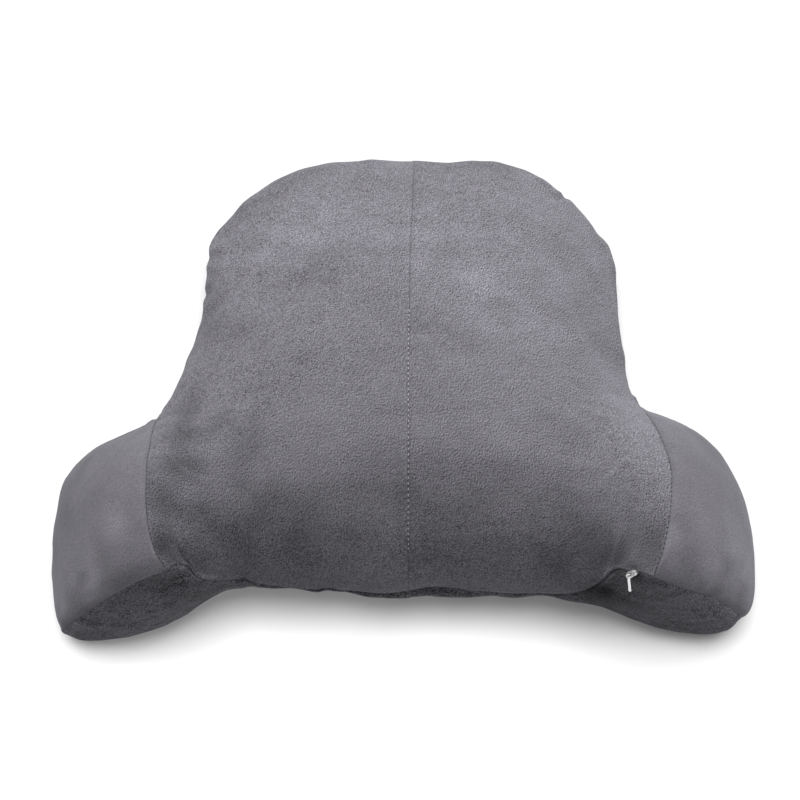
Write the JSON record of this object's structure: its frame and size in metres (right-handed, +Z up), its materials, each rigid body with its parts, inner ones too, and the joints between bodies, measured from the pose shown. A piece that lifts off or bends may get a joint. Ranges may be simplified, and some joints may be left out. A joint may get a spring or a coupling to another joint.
{
  "type": "reading pillow with arms",
  "caption": "Plush reading pillow lying on its back: a domed, stuffed back rest with a sewn centre seam, stub arms at both sides and a concealed zip along its base.",
  "frame": {"origin": "centre of the bounding box at the surface that the pillow lies on", "axes": "+X across, from the plain arm to the arm with the zip slider; +Y from the base to the domed top; +Z up out of the face that the sitter leans on"},
  "size_m": [0.5914, 0.423, 0.1897],
  "materials": {
    "plush": "short plush pile, matt, mid grey with a faint violet tint",
    "zip_metal": "bright nickel plate",
    "pull_metal": "bright nickel plate"
  },
  "bodies": {
    "root": {"pillow": "plush", "zip_slider": "zip_metal", "zip_pull": "pull_metal"}
  },
  "joints": []
}
